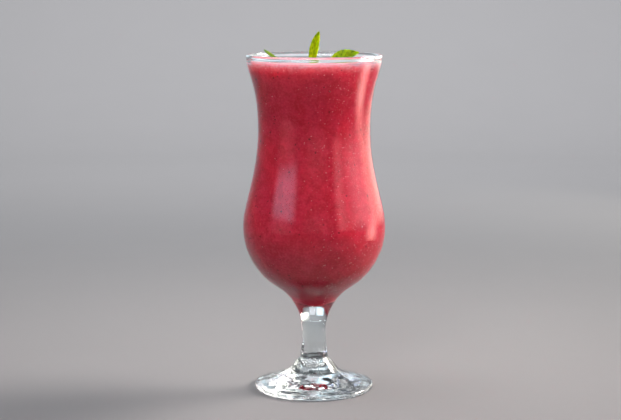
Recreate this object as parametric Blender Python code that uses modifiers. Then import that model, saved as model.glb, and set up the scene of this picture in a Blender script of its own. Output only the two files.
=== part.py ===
"""Strawberry smoothie in a stemmed hurricane glass, with three mint leaves standing in the drink.

Lengths are in metres and +Z is up. The origin is on the table, under the middle of the foot.
The glass and the drink are turned from outlines of (radius, height) points, which run down the
outer side from the top. Each leaf is a thin folded blade, and the drink is cut round its base.
"""

import math
from collections import namedtuple

import bmesh
import bpy
from mathutils import Matrix, Vector

# A place on an outline: the slope is how many degrees the side closes in on the axis on its way down,
# and the curve holds that slope for a distance above and below
Knot = namedtuple("Knot", "radius height slope above below")

# Rim, a rounded lip a little thicker than the wall below it
HEIGHT = 0.2000
RIM_RADIUS = 0.04015
LIP_RADIUS = 0.00125
LIP_INNER_TURN = 225
LIP_OUTER_TURN = -45
RIM_HOLD = 0.0085

# Bowl, with a waist above a belly that is part of a ball
WAIST = Knot(0.0332, 0.1560, 0.0, 0.0270, 0.0245)
BELLY_RADIUS = 0.0424
BELLY_HEIGHT = 0.0979
BELLY_UPPER_TURN = 4.3
BELLY_LOWER_TURN = -41.4
BELLY_HOLD_ABOVE = 0.0119
BELLY_HOLD_BELOW = 0.0103

# Solid stem, which flows out of the bowl through a funnel and spreads into a bell
FUNNEL = Knot(0.0116, 0.0508, 28.6, 0.0120, 0.0062)
SLIMMEST = Knot(0.0071, 0.0290, 0.0, 0.0140, 0.0035)
STEM_FOOT = Knot(0.0082, 0.0196, 0.0, 0.0022, 0.0)
BELL_TOP = Knot(0.0084, 0.0188, -38.0, 0.0, 0.0040)
BELL_FOOT = Knot(0.0152, 0.0104, -48.0, 0.0015, 0.0035)

# Foot, a low cone with a rounded edge, hollowed underneath inside a flat ring
FOOT_RADIUS = 0.0357
FOOT_EDGE_THICKNESS = 0.0030
FOOT_EDGE_WIDTH = 0.0015
FOOT_EDGE_SLOPE = -74.0
FOOT_EDGE_HOLD = 0.0073
RING_INSIDE = Knot(0.0305, 0.0, 109.0, 0.0, 0.0049)
HOLLOW_TOP = Knot(0.0, 0.0016, 90.0, 0.0122, 0.0)

# Wall of the bowl and the round cup at its bottom, where the glass is thicker
WALL_AT_RIM = 0.0019
WALL_AT_BELLY = 0.0021
WALL_AT_BOTTOM = 0.0027
INSIDE_BOTTOM_HEIGHT = 0.0525
CUP_HEIGHT = 0.0680
CUP_SLOPE = 51.5
CUP_HOLD_ABOVE = 0.0080
CUP_HOLD_BELOW = 0.0035
CUP_CLEARANCE = 0.0012

# Drink
DRINK_LEVEL = 0.1958
DRINK_EDGE_RADIUS = 0.0006
GAP = 0.0003

# Leaves: the ends of the midrib, the way the upper side faces, and the blade's shape
LEAF_THICKNESS = 0.00045
LEAF_STALK = 0.0005
LEAF_POINT = 0.00015
LEAF_TOOTH = 0.00012
LEAVES = {
    "leaf_upright": {
        "base": (-0.0017, 0.0010, 0.1922),
        "tip": (0.0029, 0.0010, 0.2134),
        "facing": (-0.38, -1.0, 0.0),
        "width": 0.0060,
        "widest_at": 0.52,
        "roundness": 0.62,
        "fold": 30,
        "bend": 0.0008,
        "sway": 0.0006,
    },
    "leaf_right": {
        "base": (0.0094, 0.0070, 0.1949),
        "tip": (0.0268, 0.0080, 0.2006),
        "facing": (-0.20, -0.75, 0.70),
        "width": 0.0104,
        "widest_at": 0.45,
        "roundness": 0.80,
        "fold": 38,
        "bend": 0.0006,
        "sway": 0.0,
    },
    "leaf_left": {
        "base": (-0.0190, 0.0050, 0.1942),
        "tip": (-0.0297, 0.0070, 0.2024),
        "facing": (0.55, -0.25, 0.80),
        "width": 0.0056,
        "widest_at": 0.45,
        "roundness": 0.62,
        "fold": 15,
        "bend": 0.0006,
        "sway": 0.0,
    },
}

# Facets
TURN_STEPS = 40
CURVE_POINTS = 6
SHORT_CURVE_POINTS = 3
ARC_POINTS = 6
LEAF_STATIONS = 12
LEAF_COLUMNS = 4

# Colours as linear red, green and blue
GLASS_COLOUR = (0.93, 0.96, 0.96)
SMOOTHIE_COLOUR = (0.45, 0.018, 0.045)
LEAF_COLOUR = (0.33, 0.48, 0.005)


def clear_scene():
    for thing in list(bpy.data.objects):
        bpy.data.objects.remove(thing, do_unlink=True)


def new_collection(name):
    collection = bpy.data.collections.new(name)
    bpy.context.scene.collection.children.link(collection)
    return collection


def principled(name, colour, roughness):
    """A plain material of that name, and its shader node for further settings."""
    material = bpy.data.materials.new(name)
    material.use_nodes = True
    material.diffuse_color = (*colour, 1.0)
    shader = material.node_tree.nodes["Principled BSDF"]
    shader.inputs["Base Color"].default_value = (*colour, 1.0)
    shader.inputs["Roughness"].default_value = roughness
    shader.inputs["Metallic"].default_value = 0.0
    return material, shader


def clear_glass():
    material, shader = principled("clear_soda_lime_glass", GLASS_COLOUR, 0.02)
    shader.inputs["Transmission Weight"].default_value = 1.0
    shader.inputs["IOR"].default_value = 1.52
    return material


def blended_strawberry():
    return principled("blended_strawberry", SMOOTHIE_COLOUR, 0.35)[0]


def fresh_mint():
    return principled("fresh_mint", LEAF_COLOUR, 0.45)[0]


def down_from(knot, distance):
    """The point that lies a distance down the slope of a knot, or up it for a distance below 0."""
    slope = math.radians(knot.slope)
    return Vector((knot.radius - distance * math.sin(slope), knot.height - distance * math.cos(slope)))


def curve(upper, lower, count=CURVE_POINTS):
    """Points of a cubic curve from one knot down to the next, without the first point."""
    start = down_from(upper, 0)
    end = down_from(lower, 0)
    corners = (start, down_from(upper, upper.below), down_from(lower, -lower.above), end)
    points = []
    for step in range(1, count + 1):
        t = step / count
        weights = ((1 - t) ** 3, 3 * (1 - t) ** 2 * t, 3 * (1 - t) * t**2, t**3)
        points.append(sum((w * c for w, c in zip(weights, corners)), Vector((0, 0))))
    return points


def arc(centre, radius, start, end, count=ARC_POINTS):
    """Points of an arc between two turns in degrees, ends included. A turn of 0 points off the axis."""
    points = []
    for step in range(count + 1):
        turn = math.radians(start + (end - start) * step / count)
        points.append(Vector((centre[0] + radius * math.cos(turn), centre[1] + radius * math.sin(turn))))
    return points


def lip():
    """The rounded lip, from the inner wall over the top to the outer wall."""
    centre = (RIM_RADIUS - LIP_RADIUS, HEIGHT - LIP_RADIUS)
    return arc(centre, LIP_RADIUS, LIP_INNER_TURN, LIP_OUTER_TURN)


def bowl_side():
    """The outside of the bowl: in from the lip to the waist, out to the round belly, and in to the funnel."""
    start = lip()[-1]
    ball = arc((0, BELLY_HEIGHT), BELLY_RADIUS, BELLY_UPPER_TURN, BELLY_LOWER_TURN)
    rim = Knot(start.x, start.y, 0.0, 0.0, RIM_HOLD)
    belly_top = Knot(ball[0].x, ball[0].y, -BELLY_UPPER_TURN, BELLY_HOLD_ABOVE, 0.0)
    belly_foot = Knot(ball[-1].x, ball[-1].y, -BELLY_LOWER_TURN, 0.0, BELLY_HOLD_BELOW)
    return [start] + curve(rim, WAIST) + curve(WAIST, belly_top) + ball[1:] + curve(belly_foot, FUNNEL)


def stem_side():
    """The outside of the solid stem, which narrows, swells again and spreads into a bell."""
    neck = curve(FUNNEL, SLIMMEST)
    swelling = curve(SLIMMEST, STEM_FOOT, SHORT_CURVE_POINTS)
    bell = curve(BELL_TOP, BELL_FOOT, SHORT_CURVE_POINTS)
    return neck + swelling + [down_from(BELL_TOP, 0)] + bell


def foot_side():
    """The low cone of the foot, its rounded edge, its flat ring and the hollow under it."""
    edge_radius = FOOT_RADIUS - FOOT_EDGE_WIDTH
    edge_top = Knot(edge_radius, FOOT_EDGE_THICKNESS, FOOT_EDGE_SLOPE, FOOT_EDGE_HOLD, 0.0)
    points = curve(BELL_FOOT, edge_top, SHORT_CURVE_POINTS)
    half = FOOT_EDGE_THICKNESS / 2
    for turn in (45, 0, -45):
        out = FOOT_EDGE_WIDTH * math.cos(math.radians(turn))
        up = half * math.sin(math.radians(turn))
        points.append(Vector((edge_radius + out, half + up)))
    points.append(Vector((edge_radius, 0)))
    points.append(down_from(RING_INSIDE, 0))
    return points + curve(RING_INSIDE, HOLLOW_TOP, SHORT_CURVE_POINTS)


def wall_at(height):
    """Wall thickness at a height: thin at the rim and thick towards the bottom of the bowl."""
    if height > BELLY_HEIGHT:
        t = (height - BELLY_HEIGHT) / (HEIGHT - BELLY_HEIGHT)
        return WALL_AT_BELLY + (WALL_AT_RIM - WALL_AT_BELLY) * t
    t = (BELLY_HEIGHT - height) / (BELLY_HEIGHT - INSIDE_BOTTOM_HEIGHT)
    return WALL_AT_BELLY + (WALL_AT_BOTTOM - WALL_AT_BELLY) * t


def offset_inwards(outline, distance_at):
    """The outline moved towards the axis, square to itself, by a distance for each height."""
    moved = []
    for index, point in enumerate(outline):
        before = outline[max(index - 1, 0)]
        after = outline[min(index + 1, len(outline) - 1)]
        along = (after - before).normalized()
        inwards = Vector((along.y, -along.x))
        moved.append(point + inwards * distance_at(point.y))
    return moved


def inside_of_bowl(gap=0.0):
    """The inner wall from the top down and the round cup, with a gap left in front of it."""
    wall = offset_inwards(bowl_side(), lambda height: wall_at(height) + gap)
    cup_edge = Knot(radius_at(wall, CUP_HEIGHT), CUP_HEIGHT, CUP_SLOPE, 0.0, CUP_HOLD_ABOVE)
    middle = Knot(0.0, INSIDE_BOTTOM_HEIGHT + gap, 90.0, CUP_HOLD_BELOW, 0.0)
    wall = [point for point in wall if point.y > CUP_HEIGHT + CUP_CLEARANCE]
    return wall + [down_from(cup_edge, 0)] + curve(cup_edge, middle)


def turned(name, outline, material, collection):
    """A solid turned round the Z axis from an outline that runs down its outer side."""
    mesh = bpy.data.meshes.new(name)
    points = [(point.x, 0, point.y) for point in outline]
    mesh.from_pydata(points, [(i, i + 1) for i in range(len(points) - 1)], [])
    mesh.materials.append(material)
    solid = bpy.data.objects.new(name, mesh)
    collection.objects.link(solid)
    screw = solid.modifiers.new("turning", "SCREW")
    screw.axis = "Z"
    screw.angle = math.tau
    screw.steps = TURN_STEPS
    screw.render_steps = TURN_STEPS
    screw.use_merge_vertices = True
    screw.merge_threshold = 0.00001
    screw.use_smooth_shade = True
    return solid


def glass(collection):
    """One piece of glass: bowl, solid stem, bell and foot."""
    rim = lip()
    inner = [point for point in reversed(inside_of_bowl()) if point.y < rim[0].y]
    outline = inner + rim + bowl_side()[1:] + stem_side() + foot_side()
    outline[-1].x = 0
    return turned("glass", outline, clear_glass(), collection)


def radius_at(outline, height):
    """The radius of an outline at a height, read between its points."""
    for upper, lower in zip(outline, outline[1:]):
        if upper.y >= height >= lower.y:
            t = (upper.y - height) / (upper.y - lower.y)
            return upper.x + (lower.x - upper.x) * t
    raise ValueError("the outline does not reach that height")


def smoothie(collection):
    """The drink, from its level surface over a soft edge and down the wall of the bowl."""
    wall = inside_of_bowl(GAP)
    edge_centre = (radius_at(wall, DRINK_LEVEL) - DRINK_EDGE_RADIUS, DRINK_LEVEL - DRINK_EDGE_RADIUS)
    edge = arc(edge_centre, DRINK_EDGE_RADIUS, 90, 0, 2)
    side = [point for point in wall if point.y < DRINK_LEVEL - 2 * DRINK_EDGE_RADIUS]
    outline = [Vector((0, DRINK_LEVEL))] + edge + side
    return turned("smoothie", outline, blended_strawberry(), collection)


def half_width(t, leaf):
    """Half the breadth of a blade at t along its midrib, narrow at the stalk and at the tip."""
    stretched = t ** (math.log(0.5) / math.log(leaf["widest_at"]))
    bulge = max(math.sin(math.pi * stretched), 0) ** leaf["roundness"]
    return leaf["width"] / 2 * bulge + LEAF_STALK + (LEAF_POINT - LEAF_STALK) * t


def leaf_frame(leaf):
    """The blade's own axes: X across it, Y away from its upper side, Z along the midrib."""
    base = Vector(leaf["base"])
    along = (Vector(leaf["tip"]) - base).normalized()
    across = along.cross(Vector(leaf["facing"])).normalized()
    behind = along.cross(across)
    frame = Matrix((across, behind, along)).transposed().to_4x4()
    frame.translation = base
    return frame


def leaf_blade(name, leaf, material, collection, margin=0.0):
    """A toothed blade folded along its midrib, on its stalk end. A margin makes it larger all round."""
    mesh = bpy.data.meshes.new(name)
    grid = bmesh.new()
    bmesh.ops.create_grid(grid, x_segments=LEAF_COLUMNS, y_segments=LEAF_STATIONS, size=0.5)
    length = (Vector(leaf["tip"]) - Vector(leaf["base"])).length
    fold = math.radians(leaf["fold"])
    for vertex in grid.verts:
        across = 2 * vertex.co.x
        t = min(max(vertex.co.y + 0.5, 0), 1)
        bow = 1 - (2 * t - 1) ** 2
        tooth = LEAF_TOOTH * (round(t * LEAF_STATIONS) % 2)
        side = abs(across) * (half_width(t, leaf) - tooth + margin)
        vertex.co.x = math.copysign(side * math.cos(fold), across) - leaf["sway"] * bow
        vertex.co.y = -side * math.sin(fold) + leaf["bend"] * bow
        vertex.co.z = length * t + margin * (2 * t - 1)
    grid.to_mesh(mesh)
    grid.free()
    mesh.shade_smooth()
    mesh.materials.append(material)
    blade = bpy.data.objects.new(name, mesh)
    blade.matrix_world = leaf_frame(leaf)
    collection.objects.link(blade)
    skin = blade.modifiers.new("thickness", "SOLIDIFY")
    skin.thickness = LEAF_THICKNESS + 2 * margin
    skin.offset = 0
    skin.use_even_offset = True
    return blade


def cut_round(solid, cutter):
    """Cuts the cutter's shape out of the solid, and shows the cutter as a wire only."""
    cutter.hide_render = True
    cutter.display_type = "WIRE"
    pocket = solid.modifiers.new(cutter.name, "BOOLEAN")
    pocket.operation = "DIFFERENCE"
    pocket.solver = "EXACT"
    pocket.object = cutter


def main():
    clear_scene()
    pieces = new_collection("strawberry_smoothie")
    cutters = new_collection("cutters")
    glass(pieces)
    drink = smoothie(pieces)
    mint = fresh_mint()
    for name, leaf in LEAVES.items():
        leaf_blade(name, leaf, mint, pieces)
        cutter = leaf_blade("pocket_" + name, leaf, mint, cutters, GAP)
        cut_round(drink, cutter)


main()
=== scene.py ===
"""Looks of a strawberry smoothie in a hurricane glass: clear glass, drink with seeds and froth, and mint.

Laid out as a Blender add-on and run as a script. Lengths are in metres, +Z is up, and the origin is on the
table under the middle of the foot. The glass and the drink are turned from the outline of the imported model,
with more points than its solids have.
"""

import math
import random
from collections import namedtuple

import bmesh
import bpy
from bpy.props import FloatProperty, FloatVectorProperty, IntProperty, PointerProperty
from mathutils import Matrix, Vector, noise


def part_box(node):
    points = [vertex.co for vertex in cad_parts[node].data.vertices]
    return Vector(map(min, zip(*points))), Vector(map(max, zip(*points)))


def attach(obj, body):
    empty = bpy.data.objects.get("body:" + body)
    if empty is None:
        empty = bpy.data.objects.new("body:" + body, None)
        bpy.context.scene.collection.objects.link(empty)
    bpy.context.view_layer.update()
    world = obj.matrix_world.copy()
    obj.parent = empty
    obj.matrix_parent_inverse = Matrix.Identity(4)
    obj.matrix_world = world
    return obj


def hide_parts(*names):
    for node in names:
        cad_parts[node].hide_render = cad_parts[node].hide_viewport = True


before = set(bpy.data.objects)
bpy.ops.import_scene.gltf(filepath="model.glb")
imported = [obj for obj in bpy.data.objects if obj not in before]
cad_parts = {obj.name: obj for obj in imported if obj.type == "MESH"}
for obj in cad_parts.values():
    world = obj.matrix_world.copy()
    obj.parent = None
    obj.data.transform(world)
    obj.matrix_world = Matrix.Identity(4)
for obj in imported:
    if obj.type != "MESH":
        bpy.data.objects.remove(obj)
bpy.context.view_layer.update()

bl_info = {
    "name": "Strawberry Smoothie",
    "version": (1, 0, 0),
    "blender": (4, 5, 0),
    "location": "3D View > Sidebar > Smoothie",
    "description": "Builds a strawberry smoothie in a stemmed glass with mint leaves, and a studio round it",
    "category": "Add Mesh",
}

ON_AXIS = 1e-9

# A place on an outline: the slope is how many degrees the side closes in on the axis on its way down,
# and the curve holds that slope for a distance above and below
Knot = namedtuple("Knot", "radius height slope above below")

# Rim
RIM_RADIUS = 0.04015
LIP_RADIUS = 0.00125
LIP_INNER_TURN = 225
LIP_OUTER_TURN = -45
RIM_HOLD = 0.0085

# Bowl
WAIST = Knot(0.0332, 0.1560, 0.0, 0.0270, 0.0245)
BELLY_RADIUS = 0.0424
BELLY_HEIGHT = 0.0979
BELLY_UPPER_TURN = 4.3
BELLY_LOWER_TURN = -41.4
BELLY_HOLD_ABOVE = 0.0119
BELLY_HOLD_BELOW = 0.0103

# Stem
FUNNEL = Knot(0.0116, 0.0508, 28.6, 0.0120, 0.0062)
SLIMMEST = Knot(0.0071, 0.0290, 0.0, 0.0140, 0.0035)
STEM_FOOT = Knot(0.0082, 0.0196, 0.0, 0.0022, 0.0)
BELL_TOP = Knot(0.0084, 0.0188, -38.0, 0.0, 0.0040)
BELL_FOOT = Knot(0.0152, 0.0104, -48.0, 0.0015, 0.0035)

# Foot
FOOT_RADIUS = 0.0357
FOOT_EDGE_THICKNESS = 0.0030
FOOT_EDGE_WIDTH = 0.0015
FOOT_EDGE_SLOPE = -74.0
FOOT_EDGE_HOLD = 0.0073
FOOT_EDGE_TURNS = range(75, -90, -15)
RING_INSIDE = Knot(0.0305, 0.0, 109.0, 0.0, 0.0049)
HOLLOW_TOP = Knot(0.0, 0.0016, 90.0, 0.0122, 0.0)

# Inside of the bowl: the wall, and the round cup at its bottom, where the glass is thicker
WALL_AT_RIM = 0.0019
WALL_AT_BELLY = 0.0021
WALL_AT_BOTTOM = 0.0027
INSIDE_BOTTOM_HEIGHT = 0.0525
CUP_HEIGHT = 0.0680
CUP_SLOPE = 51.5
CUP_HOLD_ABOVE = 0.0080
CUP_HOLD_BELOW = 0.0035
CUP_CLEARANCE = 0.0004

# How many points draw each stretch of the outline
LIP_POINTS = 18
UPPER_BOWL_POINTS = 22
BELLY_POINTS = 18
LOWER_BOWL_POINTS = 16
CUP_POINTS = 30
NECK_POINTS = 16
SWELLING_POINTS = 10
BELL_POINTS = 12
FOOT_POINTS = 22
HOLLOW_POINTS = 26

# The ripple in the pressed stem and foot fades out upwards over the funnel, and just above the table
RIPPLE_FULL_BELOW = 0.035
RIPPLE_NONE_ABOVE = 0.055
RIPPLE_CLEARANCE = 0.0006
FINE_RIPPLE = 0.4

# Bands of height over which a look comes or goes: the mist on the glass, the painted shade low in the bowl,
# the painted shade above the waist
MIST_STARTS = {"From Min": 0.0535, "From Max": 0.0575}
MIST_ENDS = {"From Min": 0.0640, "From Max": 0.0720}
PAINTED_SHADE_LOW = {"From Min": 0.083, "From Max": 0.101}
PAINTED_SHADE_ABOVE_WAIST = {"From Min": 0.140, "From Max": 0.168}

# Depths below the drink's level over which a look comes or goes
LIGHT_GOES_FURTHER = (0.016, 0.003)
# Painted light: the painted shade fades out just under the top, as a glow from the lit surface
PAINTED_GLOW_UNDER_TOP = (0.016, 0.005)
# Painted shade: the top of the froth is painted darker against the strong light from above
PAINTED_SHADE_ON_TOP = (0.0006, 0.0003)
UNEVEN_ON_TOP = (0.0002, 0.00001)

# The froth: how high its lower border waves, and how far above the level it would be at its thickest
FROTH_WAVE_HEIGHT = 0.0022
FROTH_TOP_ABOVE_LEVEL = 0.0007

# The drink's surface: rings of points, and the lengths of its swells and dimples
SURFACE_RINGS = 46
SWELL_LENGTH = 0.006
DIMPLE_LENGTH = 0.0018
DIMPLE_SHARE = 0.4

# Seeds and bubbles: half sizes, where they start in the bowl and how far below the level they end
SEED_HALF_LENGTHS = (0.00035, 0.00075)
SEED_BREADTH_SHARES = (0.55, 0.8)
SEED_HALF_DEPTH = 0.00016
SEEDS_FROM = 0.062
SEEDS_BELOW_LEVEL = 0.002
WALL_BUBBLE_RADII = (0.00010, 0.00036)
WALL_BUBBLE_HALF_DEPTH = 0.00010
WALL_BUBBLES_FROM = 0.060
WALL_BUBBLES_BELOW_LEVEL = 0.0004
FROTH_BUBBLE_RADII = (0.00018, 0.00078)
FROTH_CROWD_LENGTH = 0.009

# Leaves: half widths at the stalk and at the tip, faces across and along, and how the veins run
LEAF_STALK = 0.0005
LEAF_POINT = 0.00015
LEAF_USUAL_WIDTH = 0.010
LEAF_COLUMNS = 28
LEAF_STATIONS = 110
VEIN_SLANT = 0.16
VEIN_BEND = 0.10
VEIN_BREADTH = 0.13
MIDRIB_BREADTH = 0.09
SIDE_VEIN_STRENGTH = 0.8

# Each leaf: the ends of its midrib, the way its upper side faces, the shape of its blade, and how much
# painted shade darkens it
LEAVES = {
    "leaf_upright": {
        "base": (-0.0017, 0.0010, 0.1922),
        "tip": (0.0029, 0.0010, 0.2134),
        "facing": (-0.38, -1.0, 0.0),
        "width": 0.0060,
        "widest_at": 0.52,
        "roundness": 0.62,
        "fold": 30,
        "bend": 0.0008,
        "sway": 0.0006,
        "teeth": 9,
        "veins": 7,
        "leaf_shade": 0.0,
    },
    "leaf_right": {
        "base": (0.0094, 0.0070, 0.1949),
        "tip": (0.0268, 0.0080, 0.2006),
        "facing": (-0.20, -0.75, 0.70),
        "width": 0.0104,
        "widest_at": 0.45,
        "roundness": 0.80,
        "fold": 38,
        "bend": 0.0006,
        "sway": 0.0,
        "teeth": 8,
        "veins": 6,
        "leaf_shade": 0.12,
    },
    "leaf_left": {
        "base": (-0.0190, 0.0050, 0.1942),
        "tip": (-0.0297, 0.0070, 0.2024),
        "facing": (0.55, -0.25, 0.80),
        "width": 0.0056,
        "widest_at": 0.45,
        "roundness": 0.62,
        "fold": 15,
        "bend": 0.0006,
        "sway": 0.0,
        "teeth": 7,
        "veins": 5,
        "leaf_shade": 0.85,
    },
}


def linear(hex_colour):
    """An sRGB hex value as linear red, green and blue."""
    channels = []
    for start in (1, 3, 5):
        value = int(hex_colour[start : start + 2], 16) / 255
        channels.append(value / 12.92 if value <= 0.04045 else ((value + 0.055) / 1.055) ** 2.4)
    return tuple(channels)


def length_property(name, description, default):
    """A length setting, shown down to a thousandth of a millimetre."""
    return FloatProperty(name=name, description=description, default=default, unit="LENGTH", precision=6)


def colour_property(name, description, hex_colour):
    """A colour setting with a default given as an sRGB hex value."""
    return FloatVectorProperty(
        name=name,
        description=description,
        subtype="COLOR",
        size=3,
        min=0,
        max=1,
        default=linear(hex_colour),
    )


class GlassSettings(bpy.types.PropertyGroup):
    """Sizes and tint of the hurricane glass."""

    height: length_property("Height", "Height of the rim above the table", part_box("glass")[1].z)
    ripple: length_property("Ripple", "How far the pressed stem and foot wave in and out", 0.00014)
    ripple_length: length_property(
        "Ripple Length", "Distance from one wave in the pressed glass to the next", 0.0065
    )
    facets: IntProperty(name="Facets", description="Faces round the glass", default=192, min=24)
    tint: colour_property("Tint", "Colour of the glass seen flat on", "#ECF6F8")


class DrinkSettings(bpy.types.PropertyGroup):
    """Level and colours of the smoothie."""

    level: length_property("Level", "Height of the drink's surface in its middle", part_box("smoothie")[1].z)
    froth_depth: length_property("Froth Depth", "How far the pale froth reaches down at the wall", 0.0058)
    unevenness: length_property("Unevenness", "How far the surface of the froth rises and falls", 0.00025)
    reach: length_property(
        "Reach into the Wall", "How far the drink reaches into the glass so that no air gap shows", 0.00006
    )
    facets: IntProperty(name="Facets", description="Faces round the drink", default=192, min=24)
    seeds: IntProperty(name="Seeds", description="Strawberry seeds at the wall", default=230, min=0)
    bubbles: IntProperty(name="Bubbles", description="Air bubbles at the wall", default=2200, min=0)
    froth_bubbles: IntProperty(
        name="Froth Bubbles", description="Bubbles on the surface", default=2000, min=0
    )
    body: colour_property("Body", "Colour of the blended fruit", "#E63352")
    deep: colour_property("Deep", "Colour of the denser, darker patches", "#D52844")
    # Colour of the dark pulp in skins and seeds, and also what the painted shade low in the bowl and above
    # the waist darkens towards
    dark_pulp_and_shade: colour_property("Dense", "Colour of the settled pulp in the lower part", "#8E0A20")
    pale: colour_property("Pale", "Colour of the patches with more air in them", "#F0687E")
    froth: colour_property("Froth", "Colour of the froth", "#FFD6DA")
    seed: colour_property("Seed", "Colour of the seeds", "#500A14")


class MintSettings(bpy.types.PropertyGroup):
    """Blade and colours of the mint leaves."""

    thickness: length_property("Thickness", "Thickness of a leaf", 0.0003)
    quilting: length_property(
        "Quilting", "How far the blade swells between its veins, on a leaf 10 mm wide", 0.00022
    )
    tooth: length_property("Tooth", "Depth of the notches along the edge, on a leaf 10 mm wide", 0.0004)
    blade: colour_property("Blade", "Colour of the blade", "#94B402")
    vein: colour_property("Vein", "Colour of the veins", "#264002")
    shade: colour_property("Shade", "Colour of the darker patches", "#5A7C04")
    # Painted shade: the colour that a leaf is darkened towards by its share of painted shade
    leaf_shade_colour: colour_property("Old", "Colour that an older leaf turns to", "#3A5206")


class StudioSettings(bpy.types.PropertyGroup):
    """Floor, lamps and camera."""

    floor_radius: length_property(
        "Floor Radius", "Where the floor starts to turn up into the backdrop", 1.25
    )
    paper: colour_property("Paper", "Colour of the floor and backdrop", "#747476")
    daylight: colour_property("Daylight", "Colour of the even light from all sides", "#E9EEF4")
    daylight_strength: FloatProperty(
        name="Daylight Strength", description="Strength of the even light", default=0.40
    )


def down_from(knot, distance):
    """The point that lies a distance down the slope of a knot, or up it for a distance below 0."""
    slope = math.radians(knot.slope)
    return Vector((knot.radius - distance * math.sin(slope), knot.height - distance * math.cos(slope)))


def curve(upper, lower, count):
    """Points of a cubic curve from one knot down to the next, without the first point."""
    start = down_from(upper, 0)
    end = down_from(lower, 0)
    corners = (start, down_from(upper, upper.below), down_from(lower, -lower.above), end)
    points = []
    for step in range(1, count + 1):
        t = step / count
        weights = ((1 - t) ** 3, 3 * (1 - t) ** 2 * t, 3 * (1 - t) * t**2, t**3)
        points.append(sum((w * c for w, c in zip(weights, corners)), Vector((0, 0))))
    return points


def arc(centre, radius, start, end, count):
    """Points of an arc between two turns in degrees, ends included. A turn of 0 points off the axis."""
    points = []
    for step in range(count + 1):
        turn = math.radians(start + (end - start) * step / count)
        points.append(Vector((centre[0] + radius * math.cos(turn), centre[1] + radius * math.sin(turn))))
    return points


def lip(height):
    """The rounded lip, from the inner wall over the top to the outer wall."""
    centre = (RIM_RADIUS - LIP_RADIUS, height - LIP_RADIUS)
    return arc(centre, LIP_RADIUS, LIP_INNER_TURN, LIP_OUTER_TURN, LIP_POINTS)


def bowl_side(height):
    """The outside of the bowl: in to the waist, out to the round belly, and in to the funnel."""
    start = lip(height)[-1]
    ball = arc((0, BELLY_HEIGHT), BELLY_RADIUS, BELLY_UPPER_TURN, BELLY_LOWER_TURN, BELLY_POINTS)
    rim = Knot(start.x, start.y, 0.0, 0.0, RIM_HOLD)
    belly_top = Knot(ball[0].x, ball[0].y, -BELLY_UPPER_TURN, BELLY_HOLD_ABOVE, 0.0)
    belly_foot = Knot(ball[-1].x, ball[-1].y, -BELLY_LOWER_TURN, 0.0, BELLY_HOLD_BELOW)
    upper = [start] + curve(rim, WAIST, UPPER_BOWL_POINTS) + curve(WAIST, belly_top, UPPER_BOWL_POINTS)
    return upper + ball[1:] + curve(belly_foot, FUNNEL, LOWER_BOWL_POINTS)


def stem_side():
    """The outside of the solid stem, which narrows, swells again and spreads into a bell."""
    neck = curve(FUNNEL, SLIMMEST, NECK_POINTS)
    swelling = curve(SLIMMEST, STEM_FOOT, SWELLING_POINTS)
    bell = curve(BELL_TOP, BELL_FOOT, BELL_POINTS)
    return neck + swelling + [down_from(BELL_TOP, 0)] + bell


def foot_side():
    """The low cone of the foot, its rounded edge, its flat ring and the hollow under it."""
    edge_radius = FOOT_RADIUS - FOOT_EDGE_WIDTH
    edge_top = Knot(edge_radius, FOOT_EDGE_THICKNESS, FOOT_EDGE_SLOPE, FOOT_EDGE_HOLD, 0.0)
    points = curve(BELL_FOOT, edge_top, FOOT_POINTS)
    half = FOOT_EDGE_THICKNESS / 2
    for turn in FOOT_EDGE_TURNS:
        out = FOOT_EDGE_WIDTH * math.cos(math.radians(turn))
        up = half * math.sin(math.radians(turn))
        points.append(Vector((edge_radius + out, half + up)))
    points.append(Vector((edge_radius, 0)))
    points.append(Vector(((edge_radius + RING_INSIDE.radius) / 2, 0)))
    points.append(down_from(RING_INSIDE, 0))
    return points + curve(RING_INSIDE, HOLLOW_TOP, HOLLOW_POINTS)


def wall_at(height, glass_height):
    """Wall thickness at a height: thin at the rim and thick towards the bottom of the bowl."""
    if height > BELLY_HEIGHT:
        t = (height - BELLY_HEIGHT) / (glass_height - BELLY_HEIGHT)
        return WALL_AT_BELLY + (WALL_AT_RIM - WALL_AT_BELLY) * t
    t = (BELLY_HEIGHT - height) / (BELLY_HEIGHT - INSIDE_BOTTOM_HEIGHT)
    return WALL_AT_BELLY + (WALL_AT_BOTTOM - WALL_AT_BELLY) * t


def outward(outline, index):
    """The way off the material at a point of an outline that runs down its outer side."""
    before = outline[max(index - 1, 0)]
    after = outline[min(index + 1, len(outline) - 1)]
    along = (after - before).normalized()
    return Vector((-along.y, along.x))


def inside_of_bowl(glass_height, reach=0.0):
    """The inner wall from the top down and the cup at its bottom, moved into the wall by a reach."""
    side = bowl_side(glass_height)
    wall = []
    for index, point in enumerate(side):
        thickness = wall_at(point.y, glass_height) - reach
        wall.append(point - outward(side, index) * thickness)
    cup_edge = Knot(at_height(wall, CUP_HEIGHT)[0], CUP_HEIGHT, CUP_SLOPE, 0.0, CUP_HOLD_ABOVE)
    middle = Knot(0.0, INSIDE_BOTTOM_HEIGHT - reach, 90.0, CUP_HOLD_BELOW, 0.0)
    wall = [point for point in wall if point.y > CUP_HEIGHT + CUP_CLEARANCE]
    return wall + [down_from(cup_edge, 0)] + curve(cup_edge, middle, CUP_POINTS)


def at_height(outline, height):
    """The radius of an outline at a height, and the way off it there."""
    for index in range(len(outline) - 1):
        upper, lower = outline[index], outline[index + 1]
        if upper.y >= height >= lower.y:
            t = (upper.y - height) / (upper.y - lower.y)
            way = outward(outline, index).lerp(outward(outline, index + 1), t).normalized()
            return upper.x + (lower.x - upper.x) * t, way
    raise ValueError("the outline does not reach that height")


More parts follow.
